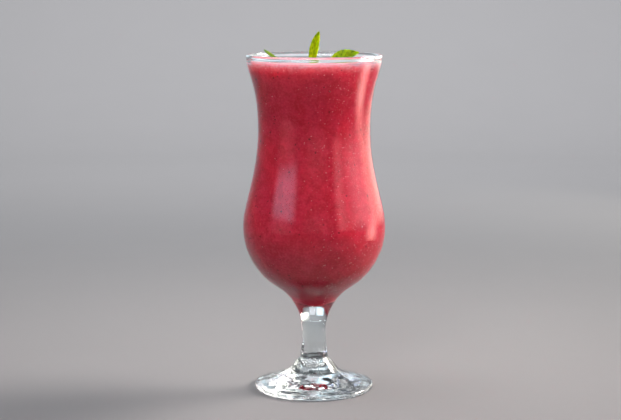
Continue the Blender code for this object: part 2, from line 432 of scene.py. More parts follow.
def turned(name, outline, steps, rise=None):
    """A mesh turned round the Z axis from an outline that starts on the axis and runs down its outer side.

    A rise is how far a point of the surface moves off the material. An end on the axis closes the mesh.
    """
    closed = outline[-1].x < ON_AXIS
    rows = outline[1:-1] if closed else outline[1:]
    points = [(Vector((0, 0, outline[0].y)), Vector((0, 0, math.copysign(1, outward(outline, 0).y))))]
    for index, point in enumerate(rows, start=1):
        way = outward(outline, index)
        for step in range(steps):
            turn = math.tau * step / steps
            side = Vector((math.cos(turn), math.sin(turn), 0))
            points.append((side * point.x + Vector((0, 0, point.y)), side * way.x + Vector((0, 0, way.y))))
    faces = [(0, 1 + step, 1 + (step + 1) % steps) for step in range(steps)]
    for row in range(len(rows) - 1):
        first = 1 + row * steps
        for step in range(steps):
            after = (step + 1) % steps
            faces.append((first + step, first + steps + step, first + steps + after, first + after))
    if closed:
        last = 1 + (len(rows) - 1) * steps
        faces += [(len(points), last + (step + 1) % steps, last + step) for step in range(steps)]
        end_way = math.copysign(1, outward(outline, len(outline) - 1).y)
        points.append((Vector((0, 0, outline[-1].y)), Vector((0, 0, end_way))))
    places = [place + way * rise(place) if rise else place for place, way in points]
    return new_mesh(name, places, faces)


def new_mesh(name, points, faces):
    """A smooth mesh of that name from its points and faces."""
    mesh = bpy.data.meshes.new(name)
    mesh.from_pydata([tuple(point) for point in points], [], faces)
    mesh.shade_smooth()
    return mesh


def new_piece(name, mesh, material, slot=None):
    """An object that shows a mesh in a material. With a slot it rides on the root body."""
    mesh.materials.append(material)
    piece = bpy.data.objects.new(name, mesh)
    bpy.context.scene.collection.objects.link(piece)
    if slot:
        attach(piece, "root")
    return piece


def scattered(name, places, roundness):
    """One mesh of many small balls, one for each matrix in places."""
    ball = bmesh.new()
    bmesh.ops.create_icosphere(ball, subdivisions=roundness, radius=1.0)
    corners = [vertex.co.copy() for vertex in ball.verts]
    sides = [[vertex.index for vertex in face.verts] for face in ball.faces]
    ball.free()
    points, faces = [], []
    for place in places:
        first = len(points)
        points += [place @ corner for corner in corners]
        faces += [[first + corner for corner in side] for side in sides]
    return new_mesh(name, points, faces)


def smooth_step(low, high, value):
    """0 at the low value and 1 at the high one, with a soft start and end."""
    t = min(max((value - low) / (high - low), 0), 1)
    return t * t * (3 - 2 * t)


def add_node(tree, kind, inputs=None, **settings):
    """Adds a node with its settings. An input is a value or the socket that feeds it."""
    made = tree.nodes.new(kind)
    for name, value in settings.items():
        setattr(made, name, value)
    for name, value in (inputs or {}).items():
        if isinstance(value, bpy.types.NodeSocket):
            tree.links.new(value, made.inputs[name])
        else:
            made.inputs[name].default_value = value
    return made


def new_material(name, settings):
    """A Principled material of that name with uniform settings, its node tree and its shader."""
    material = bpy.data.materials.new(name)
    material.use_nodes = True
    shader = material.node_tree.nodes["Principled BSDF"]
    for socket, value in settings.items():
        shader.inputs[socket].default_value = value
    return material, material.node_tree, shader


# Positions of the colour sockets of a Mix node
MIX_A = 6
MIX_B = 7
MIX_RESULT = 2


def pressed_soda_lime_glass(tint):
    """Soda-lime glass, blown bowl on a pressed stem and foot, fire polished, with a faint film of wiping.

    The eye sees no surface of its own, only what it bends and reflects, a trace of blue-green, and a soft
    band of mist low on the bowl.
    """
    material, tree, shader = new_material(
        "pressed_soda_lime_glass",
        {"Transmission Weight": 1.0, "IOR": 1.52, "Metallic": 0.0, "Base Color": (*tint, 1.0)},
    )
    place = add_node(tree, "ShaderNodeTexCoord").outputs["Object"]
    # Wiping marks are about 8 mm across
    film = add_node(tree, "ShaderNodeTexNoise", {"Vector": place, "Scale": 1 / 0.008, "Detail": 3.0})
    wiped = add_node(
        tree,
        "ShaderNodeMapRange",
        {"Value": film.outputs["Fac"], "From Min": 0.45, "From Max": 0.75, "To Min": 0.0, "To Max": 0.03},
    )
    # The cold drink mists the outside a little where the bowl runs into the funnel
    height = add_node(tree, "ShaderNodeSeparateXYZ", {"Vector": place}).outputs["Z"]
    misted = add_node(
        tree,
        "ShaderNodeMapRange",
        {"Value": height, **MIST_STARTS, "To Max": 0.24},
        interpolation_type="SMOOTHSTEP",
    )
    dried = add_node(
        tree,
        "ShaderNodeMapRange",
        {"Value": height, **MIST_ENDS, "To Min": 1.0, "To Max": 0.0},
        interpolation_type="SMOOTHSTEP",
    )
    dulled = add_node(
        tree,
        "ShaderNodeMath",
        {0: misted.outputs["Result"], 1: dried.outputs["Result"], 2: wiped.outputs["Result"]},
        operation="MULTIPLY_ADD",
    )
    tree.links.new(dulled.outputs["Value"], shader.inputs["Roughness"])
    return material


def blended_strawberry(drink):
    """Strawberries blended with milk: a thick pulp full of fine air bubbles, wet against the glass.

    The eye sees a deep cloudy red, paler where more air is in it, with grain, and a froth at the top. Painted
    shade darkens it low in the bowl, above the waist and on top of the froth.
    """
    material, tree, shader = new_material(
        "blended_strawberry",
        {
            "Metallic": 0.0,
            "IOR": 1.36,
            "Specular IOR Level": 0.04,
            "Subsurface Weight": 0.9,
            "Subsurface Radius": (1.0, 0.25, 0.28),
        },
    )
    place = add_node(tree, "ShaderNodeTexCoord").outputs["Object"]
    height = add_node(tree, "ShaderNodeSeparateXYZ", {"Vector": place}).outputs["Z"]
    # Light goes further through the froth than through the pulp
    travel = add_node(
        tree,
        "ShaderNodeMapRange",
        {
            "Value": height,
            "From Min": drink.level - LIGHT_GOES_FURTHER[0],
            "From Max": drink.level - LIGHT_GOES_FURTHER[1],
            "To Min": 0.005,
            "To Max": 0.018,
        },
    )
    tree.links.new(travel.outputs["Result"], shader.inputs["Subsurface Scale"])
    # Clouds of air are about 5 mm across, with folds down to 1 mm
    clouds = add_node(
        tree,
        "ShaderNodeTexNoise",
        {"Vector": place, "Scale": 1 / 0.005, "Detail": 3.0, "Distortion": 0.5},
    )
    cloud = add_node(
        tree,
        "ShaderNodeMapRange",
        {"Value": clouds.outputs["Fac"], "From Min": 0.35, "From Max": 0.68},
        interpolation_type="SMOOTHSTEP",
    )
    body = add_node(
        tree,
        "ShaderNodeMix",
        {0: cloud.outputs["Result"], MIX_A: (*drink.deep, 1.0), MIX_B: (*drink.body, 1.0)},
        data_type="RGBA",
    )
    # Painted shade: the drink is painted darker low in the bowl, where its underside turns away from the
    # light, and a little above the waist, so that the belly between looks better lit
    shaded = add_node(
        tree,
        "ShaderNodeMapRange",
        {"Value": height, **PAINTED_SHADE_LOW, "To Min": 0.26, "To Max": 0.0},
        interpolation_type="SMOOTHSTEP",
    )
    # Painted shade: darker a little above the waist, so that the belly looks better lit
    shaded_above_waist = add_node(
        tree,
        "ShaderNodeMapRange",
        {"Value": height, **PAINTED_SHADE_ABOVE_WAIST, "To Max": 0.2},
        interpolation_type="SMOOTHSTEP",
    )
    # Painted light: just under the top the painted shade is taken back, as a glow from the lit surface
    glow_under_top = add_node(
        tree,
        "ShaderNodeMapRange",
        {
            "Value": height,
            "From Min": drink.level - PAINTED_GLOW_UNDER_TOP[0],
            "From Max": drink.level - PAINTED_GLOW_UNDER_TOP[1],
            "To Max": 0.2,
        },
    )
    shade_sum = add_node(
        tree,
        "ShaderNodeMath",
        {0: shaded.outputs["Result"], 1: shaded_above_waist.outputs["Result"]},
        operation="ADD",
    )
    darker = add_node(
        tree,
        "ShaderNodeMath",
        {0: shade_sum.outputs["Value"], 1: glow_under_top.outputs["Result"]},
        operation="SUBTRACT",
        use_clamp=True,
    )
    # The body with painted shade mixed in
    dark_pulp_and_shade = add_node(
        tree,
        "ShaderNodeMix",
        {0: darker.outputs["Value"], MIX_A: body.outputs[MIX_RESULT], MIX_B: (*drink.dark_pulp_and_shade, 1.0)},
        data_type="RGBA",
    )
    # Pulp and air make a grain of 1.2 mm: paler where there is air, darker where there is skin
    grain = add_node(tree, "ShaderNodeTexNoise", {"Vector": place, "Scale": 1 / 0.0012, "Detail": 2.0})
    skins = add_node(
        tree,
        "ShaderNodeMapRange",
        {"Value": grain.outputs["Fac"], "From Min": 0.5, "From Max": 0.28, "To Max": 0.22},
    )
    skinned = add_node(
        tree,
        "ShaderNodeMix",
        {0: skins.outputs["Result"], MIX_A: dark_pulp_and_shade.outputs[MIX_RESULT], MIX_B: (*drink.dark_pulp_and_shade, 1.0)},
        data_type="RGBA",
    )
    airy = add_node(
        tree,
        "ShaderNodeMapRange",
        {"Value": grain.outputs["Fac"], "From Min": 0.5, "From Max": 0.74, "To Max": 0.18},
    )
    pulp = add_node(
        tree,
        "ShaderNodeMix",
        {0: airy.outputs["Result"], MIX_A: skinned.outputs[MIX_RESULT], MIX_B: (*drink.pale, 1.0)},
        data_type="RGBA",
    )
    # The froth thins out downwards in soft waves, 4 mm long
    waves = add_node(tree, "ShaderNodeTexNoise", {"Vector": place, "Scale": 1 / 0.004, "Detail": 1.0})
    wavy_height = add_node(
        tree,
        "ShaderNodeMath",
        {0: waves.outputs["Fac"], 1: FROTH_WAVE_HEIGHT, 2: height},
        operation="MULTIPLY_ADD",
    )
    froth_top = drink.level + FROTH_TOP_ABOVE_LEVEL
    thinning = add_node(
        tree,
        "ShaderNodeMapRange",
        {
            "Value": wavy_height.outputs["Value"],
            "From Min": froth_top - drink.froth_depth,
            "From Max": froth_top,
        },
    )
    frothy = add_node(
        tree, "ShaderNodeMath", {0: thinning.outputs["Result"], 1: 2.2}, operation="POWER"
    )
    foam = add_node(
        tree, "ShaderNodeMapRange", {"Value": grain.outputs["Fac"], "From Min": 0.05, "From Max": 0.75}
    )
    froth_grain = add_node(
        tree,
        "ShaderNodeMix",
        {0: foam.outputs["Result"], MIX_A: (*drink.pale, 1.0), MIX_B: (*drink.froth, 1.0)},
        data_type="RGBA",
    )
    surface = add_node(
        tree,
        "ShaderNodeMix",
        {
            0: frothy.outputs["Value"],
            MIX_A: pulp.outputs[MIX_RESULT],
            MIX_B: froth_grain.outputs[MIX_RESULT],
        },
        data_type="RGBA",
    )
    # Painted shade: the top of the froth, where the light from above falls strongest, is painted pinker and
    # darker than where it clings to the wall
    on_top = add_node(
        tree,
        "ShaderNodeMapRange",
        {
            "Value": height,
            "From Min": drink.level - PAINTED_SHADE_ON_TOP[0],
            "From Max": drink.level - PAINTED_SHADE_ON_TOP[1],
            "To Max": 0.6,
        },
    )
    pinker = add_node(
        tree,
        "ShaderNodeMix",
        {0: on_top.outputs["Result"], MIX_A: surface.outputs[MIX_RESULT], MIX_B: (*drink.pale, 1.0)},
        data_type="RGBA",
    )
    tree.links.new(pinker.outputs[MIX_RESULT], shader.inputs["Base Color"])
    gloss = add_node(
        tree,
        "ShaderNodeMapRange",
        {"Value": grain.outputs["Fac"], "From Min": 0.3, "From Max": 0.7, "To Min": 0.3, "To Max": 0.5},
    )
    tree.links.new(gloss.outputs["Result"], shader.inputs["Roughness"])
    return material


def strawberry_froth(drink):
    """Foam of the blended drink: thin pink walls round air, wet and pale."""
    material, tree, shader = new_material(
        "strawberry_froth",
        {
            "Metallic": 0.0,
            "IOR": 1.34,
            "Subsurface Weight": 0.5,
            "Subsurface Radius": (1.0, 0.5, 0.45),
            "Subsurface Scale": 0.0006,
        },
    )
    place = add_node(tree, "ShaderNodeTexCoord").outputs["Object"]
    # Neighbouring bubbles of about 1 mm differ in thickness
    cells = add_node(tree, "ShaderNodeTexNoise", {"Vector": place, "Scale": 1 / 0.001, "Detail": 1.0})
    shade = add_node(
        tree,
        "ShaderNodeMix",
        {0: cells.outputs["Fac"], MIX_A: (*drink.pale, 1.0), MIX_B: (*drink.froth, 1.0)},
        data_type="RGBA",
    )
    tree.links.new(shade.outputs[MIX_RESULT], shader.inputs["Base Color"])
    wet = add_node(
        tree,
        "ShaderNodeMapRange",
        {"Value": cells.outputs["Fac"], "From Min": 0.3, "From Max": 0.7, "To Min": 0.15, "To Max": 0.35},
    )
    tree.links.new(wet.outputs["Result"], shader.inputs["Roughness"])
    return material


def strawberry_seed(drink):
    """The small hard seeds of the fruit, soaked dark red-brown, ribbed and wet."""
    material, tree, shader = new_material(
        "strawberry_seed", {"Metallic": 0.0, "IOR": 1.45, "Specular IOR Level": 0.05}
    )
    place = add_node(tree, "ShaderNodeTexCoord").outputs["Object"]
    # Patches on a seed are about 0.4 mm
    ribs = add_node(tree, "ShaderNodeTexNoise", {"Vector": place, "Scale": 1 / 0.0004, "Detail": 1.0})
    browned = add_node(
        tree,
        "ShaderNodeMix",
        {0: ribs.outputs["Fac"], MIX_A: (*drink.seed, 1.0), MIX_B: (*drink.dark_pulp_and_shade, 1.0)},
        data_type="RGBA",
    )
    tree.links.new(browned.outputs[MIX_RESULT], shader.inputs["Base Color"])
    wet = add_node(
        tree,
        "ShaderNodeMapRange",
        {"Value": ribs.outputs["Fac"], "To Min": 0.25, "To Max": 0.45},
    )
    tree.links.new(wet.outputs["Result"], shader.inputs["Roughness"])
    return material


def fresh_mint_leaf(mint):
    """A young mint leaf: thin, quilted between its veins, with a soft waxy shine.

    The eye sees a bright yellow-green where light comes through, darker patches and dark veins.
    """
    material, tree, shader = new_material(
        "fresh_mint_leaf",
        {
            "Metallic": 0.0,
            "IOR": 1.42,
            "Specular IOR Level": 0.08,
            "Subsurface Weight": 0.4,
            "Subsurface Radius": (0.4, 1.0, 0.2),
            "Subsurface Scale": 0.0005,
        },
    )
    place = add_node(tree, "ShaderNodeTexCoord").outputs["Object"]
    patches = add_node(tree, "ShaderNodeTexNoise", {"Vector": place, "Scale": 1 / 0.0025, "Detail": 3.0})
    patchy = add_node(
        tree,
        "ShaderNodeMapRange",
        {"Value": patches.outputs["Fac"], "From Min": 0.42, "From Max": 0.68},
    )
    blade = add_node(
        tree,
        "ShaderNodeMix",
        {0: patchy.outputs["Result"], MIX_A: (*mint.blade, 1.0), MIX_B: (*mint.shade, 1.0)},
        data_type="RGBA",
    )
    vein = add_node(tree, "ShaderNodeAttribute", attribute_name="vein")
    veined = add_node(
        tree,
        "ShaderNodeMix",
        {0: vein.outputs["Fac"], MIX_A: blade.outputs[MIX_RESULT], MIX_B: (*mint.vein, 1.0)},
        data_type="RGBA",
    )
    # Painted shade: each leaf is darkened by its own share, for the shade it lies in
    leaf_shade = add_node(tree, "ShaderNodeAttribute", attribute_name="leaf_shade")
    leaf_shaded = add_node(
        tree,
        "ShaderNodeMix",
        {0: leaf_shade.outputs["Fac"], MIX_A: veined.outputs[MIX_RESULT], MIX_B: (*mint.leaf_shade_colour, 1.0)},
        data_type="RGBA",
    )
    tree.links.new(leaf_shaded.outputs[MIX_RESULT], shader.inputs["Base Color"])
    # Cells of the skin are drawn 0.3 mm wide, coarser than real, so that they show
    cells = add_node(tree, "ShaderNodeTexNoise", {"Vector": place, "Scale": 1 / 0.0003, "Detail": 1.0})
    waxy = add_node(
        tree,
        "ShaderNodeMapRange",
        {"Value": cells.outputs["Fac"], "From Min": 0.3, "From Max": 0.7, "To Min": 0.35, "To Max": 0.5},
    )
    tree.links.new(waxy.outputs["Result"], shader.inputs["Roughness"])
    skin = add_node(
        tree, "ShaderNodeBump", {"Height": cells.outputs["Fac"], "Strength": 0.3, "Distance": 0.00005}
    )
    tree.links.new(skin.outputs["Normal"], shader.inputs["Normal"])
    return material


def studio_paper(studio):
    """Matt paper off a roll, pale grey, with hardly any tooth."""
    material, tree, shader = new_material(
        "studio_paper", {"Metallic": 0.0, "Specular IOR Level": 0.2, "Roughness": 0.8}
    )
    place = add_node(tree, "ShaderNodeTexCoord").outputs["Object"]
    # Fibres show as clouds of 60 mm
    fibre = add_node(tree, "ShaderNodeTexNoise", {"Vector": place, "Scale": 1 / 0.06, "Detail": 2.0})
    darker = [channel * 0.97 for channel in studio.paper]
    shade = add_node(
        tree,
        "ShaderNodeMix",
        {0: fibre.outputs["Fac"], MIX_A: (*studio.paper, 1.0), MIX_B: (*darker, 1.0)},
        data_type="RGBA",
    )
    tree.links.new(shade.outputs[MIX_RESULT], shader.inputs["Base Color"])
    return material


class SMOOTHIE_OT_glass(bpy.types.Operator):
    """Turns the hurricane glass, with faint waves in its pressed stem and foot"""

    bl_idname = "smoothie.glass"
    bl_label = "Hurricane Glass"

    def execute(self, context):
        sizes = context.scene.smoothie_glass
        rim = lip(sizes.height)
        inner = [point for point in reversed(inside_of_bowl(sizes.height)) if point.y < rim[0].y]
        outline = inner + rim + bowl_side(sizes.height)[1:] + stem_side() + foot_side()
        # Both ends lie on the axis, whatever rounding makes of them
        outline[0].x = outline[-1].x = 0

        def ripple(place):
            """Coarse and fine waves in the pressed glass."""
            pressed = 1 - smooth_step(RIPPLE_FULL_BELOW, RIPPLE_NONE_ABOVE, place.z)
            standing = smooth_step(0.0, RIPPLE_CLEARANCE, place.z)
            coarse = noise.noise(place / sizes.ripple_length)
            fine = noise.noise(place / (FINE_RIPPLE * sizes.ripple_length))
            return sizes.ripple * pressed * standing * (coarse + FINE_RIPPLE * fine) * 2

        mesh = turned("hurricane_glass", outline, sizes.facets, ripple)
        piece = new_piece("hurricane_glass", mesh, pressed_soda_lime_glass(sizes.tint), "glass")
        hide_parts("glass")
        return {"FINISHED"}


class SMOOTHIE_OT_drink(bpy.types.Operator):
    """Fills the glass with smoothie up to its level"""

    bl_idname = "smoothie.drink"
    bl_label = "Smoothie"

    def execute(self, context):
        glass = context.scene.smoothie_glass
        drink = context.scene.smoothie_drink
        wall = inside_of_bowl(glass.height, drink.reach)
        side = [point for point in wall if point.y < drink.level]
        radius = at_height(wall, drink.level)[0]
        rings = range(SURFACE_RINGS + 1)
        top = [Vector((radius * ring / SURFACE_RINGS, drink.level)) for ring in rings]

        def uneven(place):
            """Swells and dimples on top of the drink, and none at its side."""
            starts, ends = (drink.level - depth for depth in UNEVEN_ON_TOP)
            on_top = smooth_step(starts, ends, place.z)
            swell = noise.noise(place / SWELL_LENGTH) + DIMPLE_SHARE * noise.noise(place / DIMPLE_LENGTH)
            return drink.unevenness * on_top * swell

        mesh = turned("strawberry_smoothie", top + side, drink.facets, uneven)
        piece = new_piece("strawberry_smoothie", mesh, blended_strawberry(drink), "smoothie")
        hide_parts("smoothie")
        return {"FINISHED"}


def at_the_wall(chance, wall, lowest, highest, draw):
    """A place on the drink's side, square to the wall, kept with a chance that its height and side give."""
    while True:
        height = draw.uniform(lowest, highest)
        turn = draw.uniform(0, math.tau)
        radius, way = at_height(wall, height)
        if draw.random() * BELLY_RADIUS > radius or draw.random() > chance(height, turn):
            continue
        side = Vector((math.cos(turn), math.sin(turn), 0))
        off = side * way.x + Vector((0, 0, way.y))
        across = Vector((-math.sin(turn), math.cos(turn), 0))
        up = off.cross(across)
        place = Matrix((across, up, off)).transposed().to_4x4()
        place.translation = side * radius + Vector((0, 0, height))
        return place


class SMOOTHIE_OT_seeds(bpy.types.Operator):
    """Lays strawberry seeds in the drink where it meets the glass"""

    bl_idname = "smoothie.seeds"
    bl_label = "Seeds"

    def execute(self, context):
        drink = context.scene.smoothie_drink
        wall = inside_of_bowl(context.scene.smoothie_glass.height, drink.reach)
        draw = random.Random(11)
        lowest, highest = SEEDS_FROM, drink.level - SEEDS_BELOW_LEVEL

        def chance(height, turn):
            """Seeds gather towards the top and towards the left."""
            return (0.5 + 0.5 * smooth_step(0.10, 0.19, height)) * (0.5 + 0.5 * max(-math.cos(turn), 0))

        places = []
        for _ in range(drink.seeds):
            length = draw.uniform(*SEED_HALF_LENGTHS)
            breadth = length * draw.uniform(*SEED_BREADTH_SHARES)
            shape = Matrix.Diagonal((length, breadth, SEED_HALF_DEPTH, 1))
            turn = Matrix.Rotation(draw.uniform(0, math.pi), 4, "Z")
            places.append(at_the_wall(chance, wall, lowest, highest, draw) @ turn @ shape)
        mesh = scattered("strawberry_seeds", places, 2)
        new_piece("strawberry_seeds", mesh, strawberry_seed(drink), "smoothie")
        return {"FINISHED"}


class SMOOTHIE_OT_bubbles(bpy.types.Operator):
    """Sets fine air bubbles in the drink where it meets the glass"""

    bl_idname = "smoothie.bubbles"
    bl_label = "Bubbles at the Wall"

    def execute(self, context):
        drink = context.scene.smoothie_drink
        wall = inside_of_bowl(context.scene.smoothie_glass.height, drink.reach)
        draw = random.Random(23)
        lowest, highest = WALL_BUBBLES_FROM, drink.level - WALL_BUBBLES_BELOW_LEVEL
        smallest, largest = WALL_BUBBLE_RADII

        def chance(height, turn):
            """Bubbles gather in clusters and just below the surface, and crowd towards the lit right side,
            where their pale specks paint a grainy highlight.
            """
            cluster = noise.noise(Vector((math.cos(turn), math.sin(turn), height * 25)) * 2.5)
            # Painted highlight: more pale bubbles on the right, where the light falls
            right = max(math.cos(turn + 0.4), 0)
            return 0.02 + 0.15 * max(cluster, 0) + 0.8 * right**2 + 0.3 * smooth_step(0.188, 0.195, height)

        places = []
        for _ in range(drink.bubbles):
            size = smallest + (largest - smallest) * draw.random() ** 3
            shape = Matrix.Diagonal((size, size, WALL_BUBBLE_HALF_DEPTH, 1))
            places.append(at_the_wall(chance, wall, lowest, highest, draw) @ shape)
        mesh = scattered("wall_bubbles", places, 1)
        new_piece("wall_bubbles", mesh, strawberry_froth(drink), "smoothie")
        return {"FINISHED"}


class SMOOTHIE_OT_froth(bpy.types.Operator):
    """Strews bubbles over the surface of the drink"""

    bl_idname = "smoothie.froth"
    bl_label = "Froth"

    def execute(self, context):
        drink = context.scene.smoothie_drink
        wall = inside_of_bowl(context.scene.smoothie_glass.height, drink.reach)
        draw = random.Random(37)
        edge = at_height(wall, drink.level)[0]
        smallest, largest = FROTH_BUBBLE_RADII
        places = []
        while len(places) < drink.froth_bubbles:
            size = smallest + (largest - smallest) * draw.random() ** 4
            radius = (edge - size) * math.sqrt(draw.random())
            turn = draw.uniform(0, math.tau)
            place = Vector((radius * math.cos(turn), radius * math.sin(turn), drink.level))
            near_edge = smooth_step(0.6, 1.0, radius / edge)
            crowd = noise.noise(place / FROTH_CROWD_LENGTH) + 0.9 * near_edge
            if draw.random() > 0.35 + crowd:
                continue
            place.z -= 0.1 * size
            places.append(Matrix.Translation(place) @ Matrix.Diagonal((size, size, size * 0.7, 1)))
        mesh = scattered("froth_bubbles", places, 2)
        new_piece("froth_bubbles", mesh, strawberry_froth(drink), "smoothie")
        return {"FINISHED"}


def half_width(t, leaf):
    """Half the breadth of a blade at t along its midrib, narrow at the stalk and at the tip."""
    stretched = t ** (math.log(0.5) / math.log(leaf["widest_at"]))
    bulge = max(math.sin(math.pi * stretched), 0) ** leaf["roundness"]
    return leaf["width"] / 2 * bulge + LEAF_STALK + (LEAF_POINT - LEAF_STALK) * t


def leaf_axes(leaf):
    """The blade's own axes: X across it, Y away from its upper side, Z along the midrib."""
    base = Vector(leaf["base"])
    along = (Vector(leaf["tip"]) - base).normalized()
    across = along.cross(Vector(leaf["facing"])).normalized()
    behind = along.cross(across)
    axes = Matrix((across, behind, along)).transposed().to_4x4()
    axes.translation = base
    return axes


def vein_at(across, t, leaf):
    """How near a place on the blade is to a vein, from 0 between veins to 1 on one."""
    slant = t - VEIN_SLANT * abs(across) - VEIN_BEND * across**2
    phase = (slant * leaf["veins"]) % 1.0
    side_vein = max(1 - min(phase, 1 - phase) / VEIN_BREADTH, 0) * smooth_step(1.0, 0.7, abs(across))
    midrib = max(1 - abs(across) / MIDRIB_BREADTH, 0)
    return max(midrib, SIDE_VEIN_STRENGTH * side_vein)


def leaf_mesh(name, leaf, mint):
    """A toothed blade folded along its midrib and quilted between its veins.

    Its attributes say where the veins are and how much painted shade darkens the leaf.
    """
    grid = bmesh.new()
    bmesh.ops.create_grid(grid, x_segments=LEAF_COLUMNS, y_segments=LEAF_STATIONS, size=0.5)
    length = (Vector(leaf["tip"]) - Vector(leaf["base"])).length
    fold = math.radians(leaf["fold"])
    tooth = mint.tooth * leaf["width"] / LEAF_USUAL_WIDTH
    veins = []
    for vertex in grid.verts:
        across = 2 * vertex.co.x
        t = min(max(vertex.co.y + 0.5, 0), 1)
        bow = 1 - (2 * t - 1) ** 2
        notch = (1 - (t * leaf["teeth"]) % 1.0) * smooth_step(0.1, 0.25, t)
        side = abs(across) * (half_width(t, leaf) - tooth * notch * abs(across) ** 3)
        vein = vein_at(across, t, leaf)
        veins.append(vein)
        rounded = (1 - abs(across) ** 4) * math.sqrt(bow)
        swell = mint.quilting * (1 - vein) * rounded * leaf["width"] / LEAF_USUAL_WIDTH
        vertex.co.x = math.copysign(side * math.cos(fold), across) - leaf["sway"] * bow
        vertex.co.y = -side * math.sin(fold) + leaf["bend"] * bow - swell
        vertex.co.z = length * t
    mesh = bpy.data.meshes.new(name)
    grid.to_mesh(mesh)
    grid.free()
    mesh.shade_smooth()
    mesh.attributes.new("vein", "FLOAT", "POINT").data.foreach_set("value", veins)
    mesh.attributes.new("leaf_shade", "FLOAT", "POINT").data.foreach_set("value", [leaf["leaf_shade"]] * len(veins))
    return mesh


class SMOOTHIE_OT_mint(bpy.types.Operator):
    """Stands three mint leaves in the drink"""

    bl_idname = "smoothie.mint"
    bl_label = "Mint Leaves"

    def execute(self, context):
        mint = context.scene.smoothie_mint
        material = fresh_mint_leaf(mint)
        for name, leaf in LEAVES.items():
            blade = new_piece("mint_" + name, leaf_mesh(name, leaf, mint), material)
            blade.matrix_world = leaf_axes(leaf)
            skin = blade.modifiers.new("thickness", "SOLIDIFY")
            skin.thickness = mint.thickness
            skin.offset = 0
            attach(blade, "root")
            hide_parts(name)
        return {"FINISHED"}


def add_lamp(name, radiance, colour, size, place, aim, spread=180, fade=(0, 0)):
    """A soft rectangular lamp, not seen by the camera itself, with a radiance straight ahead of it.

    It fades to nothing at half its spread off that line. At its edges it fades over shares of its width
    and height.
    """
    lamp = bpy.data.lights.new(name, "AREA")
    lamp.shape = "RECTANGLE"
    lamp.size, lamp.size_y = size
    half = math.radians(spread) / 2
    lamp.energy = radiance * math.pi * size[0] * size[1] * (1 - half / math.tan(half))
    lamp.color = linear(colour)
    lamp.spread = math.radians(spread)
    if any(fade):
        lamp.use_nodes = True
        tree = lamp.node_tree
        on_lamp = add_node(tree, "ShaderNodeNewGeometry").outputs["Parametric"]
        sides = add_node(tree, "ShaderNodeSeparateXYZ", {"Vector": on_lamp})
        shown_share = 1.0
        for side, share_faded in zip("XY", fade):
            to_edge = add_node(
                tree, "ShaderNodeMath", {0: sides.outputs[side], 1: 0.5}, operation="PINGPONG"
            )
            share = add_node(
                tree,
                "ShaderNodeMapRange",
                {"Value": to_edge.outputs["Value"], "From Max": share_faded},
                interpolation_type="SMOOTHSTEP",
            )
            product = add_node(
                tree, "ShaderNodeMath", {0: share.outputs["Result"], 1: shown_share}, operation="MULTIPLY"
            )
            shown_share = product.outputs["Value"]
        tree.links.new(shown_share, tree.nodes["Emission"].inputs["Strength"])
    shown = bpy.data.objects.new(name, lamp)
    shown.location = place
    shown.rotation_euler = (Vector(aim) - Vector(place)).to_track_quat("-Z", "Y").to_euler()
    shown.visible_camera = False
    bpy.context.scene.collection.objects.link(shown)


def around(azimuth, distance, height):
    """A place round the glass. An azimuth of 0 is towards the camera and 90 is to its right."""
    turn = math.radians(azimuth)
    return (distance * math.sin(turn), -distance * math.cos(turn), height)


# Floor, just below the table height, and backdrop
FLOOR_GAP = 0.00015
FLOOR_RINGS = 12
FLOOR_STEPS = 96
BACKDROP_BEND = 0.5
BACKDROP_BEND_POINTS = 16
BACKDROP_TOP = 3.0

# Lamps: name, radiance, colour, width and height, place, aim, spread in degrees, and the shares of width
# and height over which its edges fade
MIDDLE = (0, 0, 0.12)
LAMPS = (
    ("key_high", 88.0, "#FFF4EC", (0.76, 0.33), around(108, 0.80, 0.50), (0, 0, 0.15), 52, (0.2, 0.2)),
    ("front_high", 26.5, "#FFFCF8", (1.10, 0.22), around(-14, 0.80, 0.58), (0, 0, 0.165), 52, (0, 0)),
    ("front_fill", 0.30, "#FFF6FF", (1.0, 0.5), around(6, 0.85, 0.22), MIDDLE, 180, (0.4, 0.4)),
    ("side_right", 2.5, "#FFE8F0", (1.50, 0.56), around(86, 0.85, 0.26), (0, 0, 0.20), 160, (0.5, 0.5)),
    ("edge_right", 2.1, "#FFF6E4", (1.30, 0.56), around(133, 0.85, 0.26), (0, 0, 0.20), 150, (0.3, 0.3)),
    ("back_left", 1.4, "#DDF4FF", (0.52, 0.58), around(-162, 0.92, 0.46), MIDDLE, 100, (0.25, 0.25)),
    ("back_middle", 0.5, "#FFF8FF", (0.26, 0.50), around(176, 0.92, 0.46), MIDDLE, 100, (0.1, 0.1)),
    ("back_right", 1.4, "#DDF4FF", (0.40, 0.28), around(157, 0.92, 0.30), MIDDLE, 100, (0.25, 0.25)),
    ("window_left", 2.6, "#D2DCFF", (0.84, 0.44), around(-54, 0.80, 0.42), (0, 0, 0.13), 120, (0.28, 0.28)),
    ("window_right", 1.6, "#FFF0F4", (0.46, 0.86), around(46, 0.80, 0.44), MIDDLE, 120, (0.5, 0.14)),
    ("left_fill", 0.4, "#FFF0F8", (0.90, 0.26), around(-54, 0.82, 0.12), MIDDLE, 180, (0.5, 0.2)),
    ("low_right", 7.2, "#FFD8D0", (0.28, 0.22), around(101, 0.36, 0.06), (0.03, 0, 0.15), 70, (0.5, 0.5)),
    ("top", 6.0, "#FFFFFF", (0.5, 0.5), (-0.25, 0.05, 0.85), (0, 0, 0.19), 60, (0, 0)),
)

# Lamps that light the backdrop from above: name, radiance and azimuth, then their width and height, and
# the distance and height of their places and aims
WALL_LAMPS = (("wall_back", 34, 180), ("wall_left", 6, -90), ("wall_right", 10, 90), ("wall_front", 7, 0))
WALL_LAMP_SIZE = (1.4, 0.4)
WALL_LAMP_PLACE = (0.75, 1.3)
WALL_LAMP_AIM = (1.6, 0.2)
WALL_LAMP_SPREAD = 140

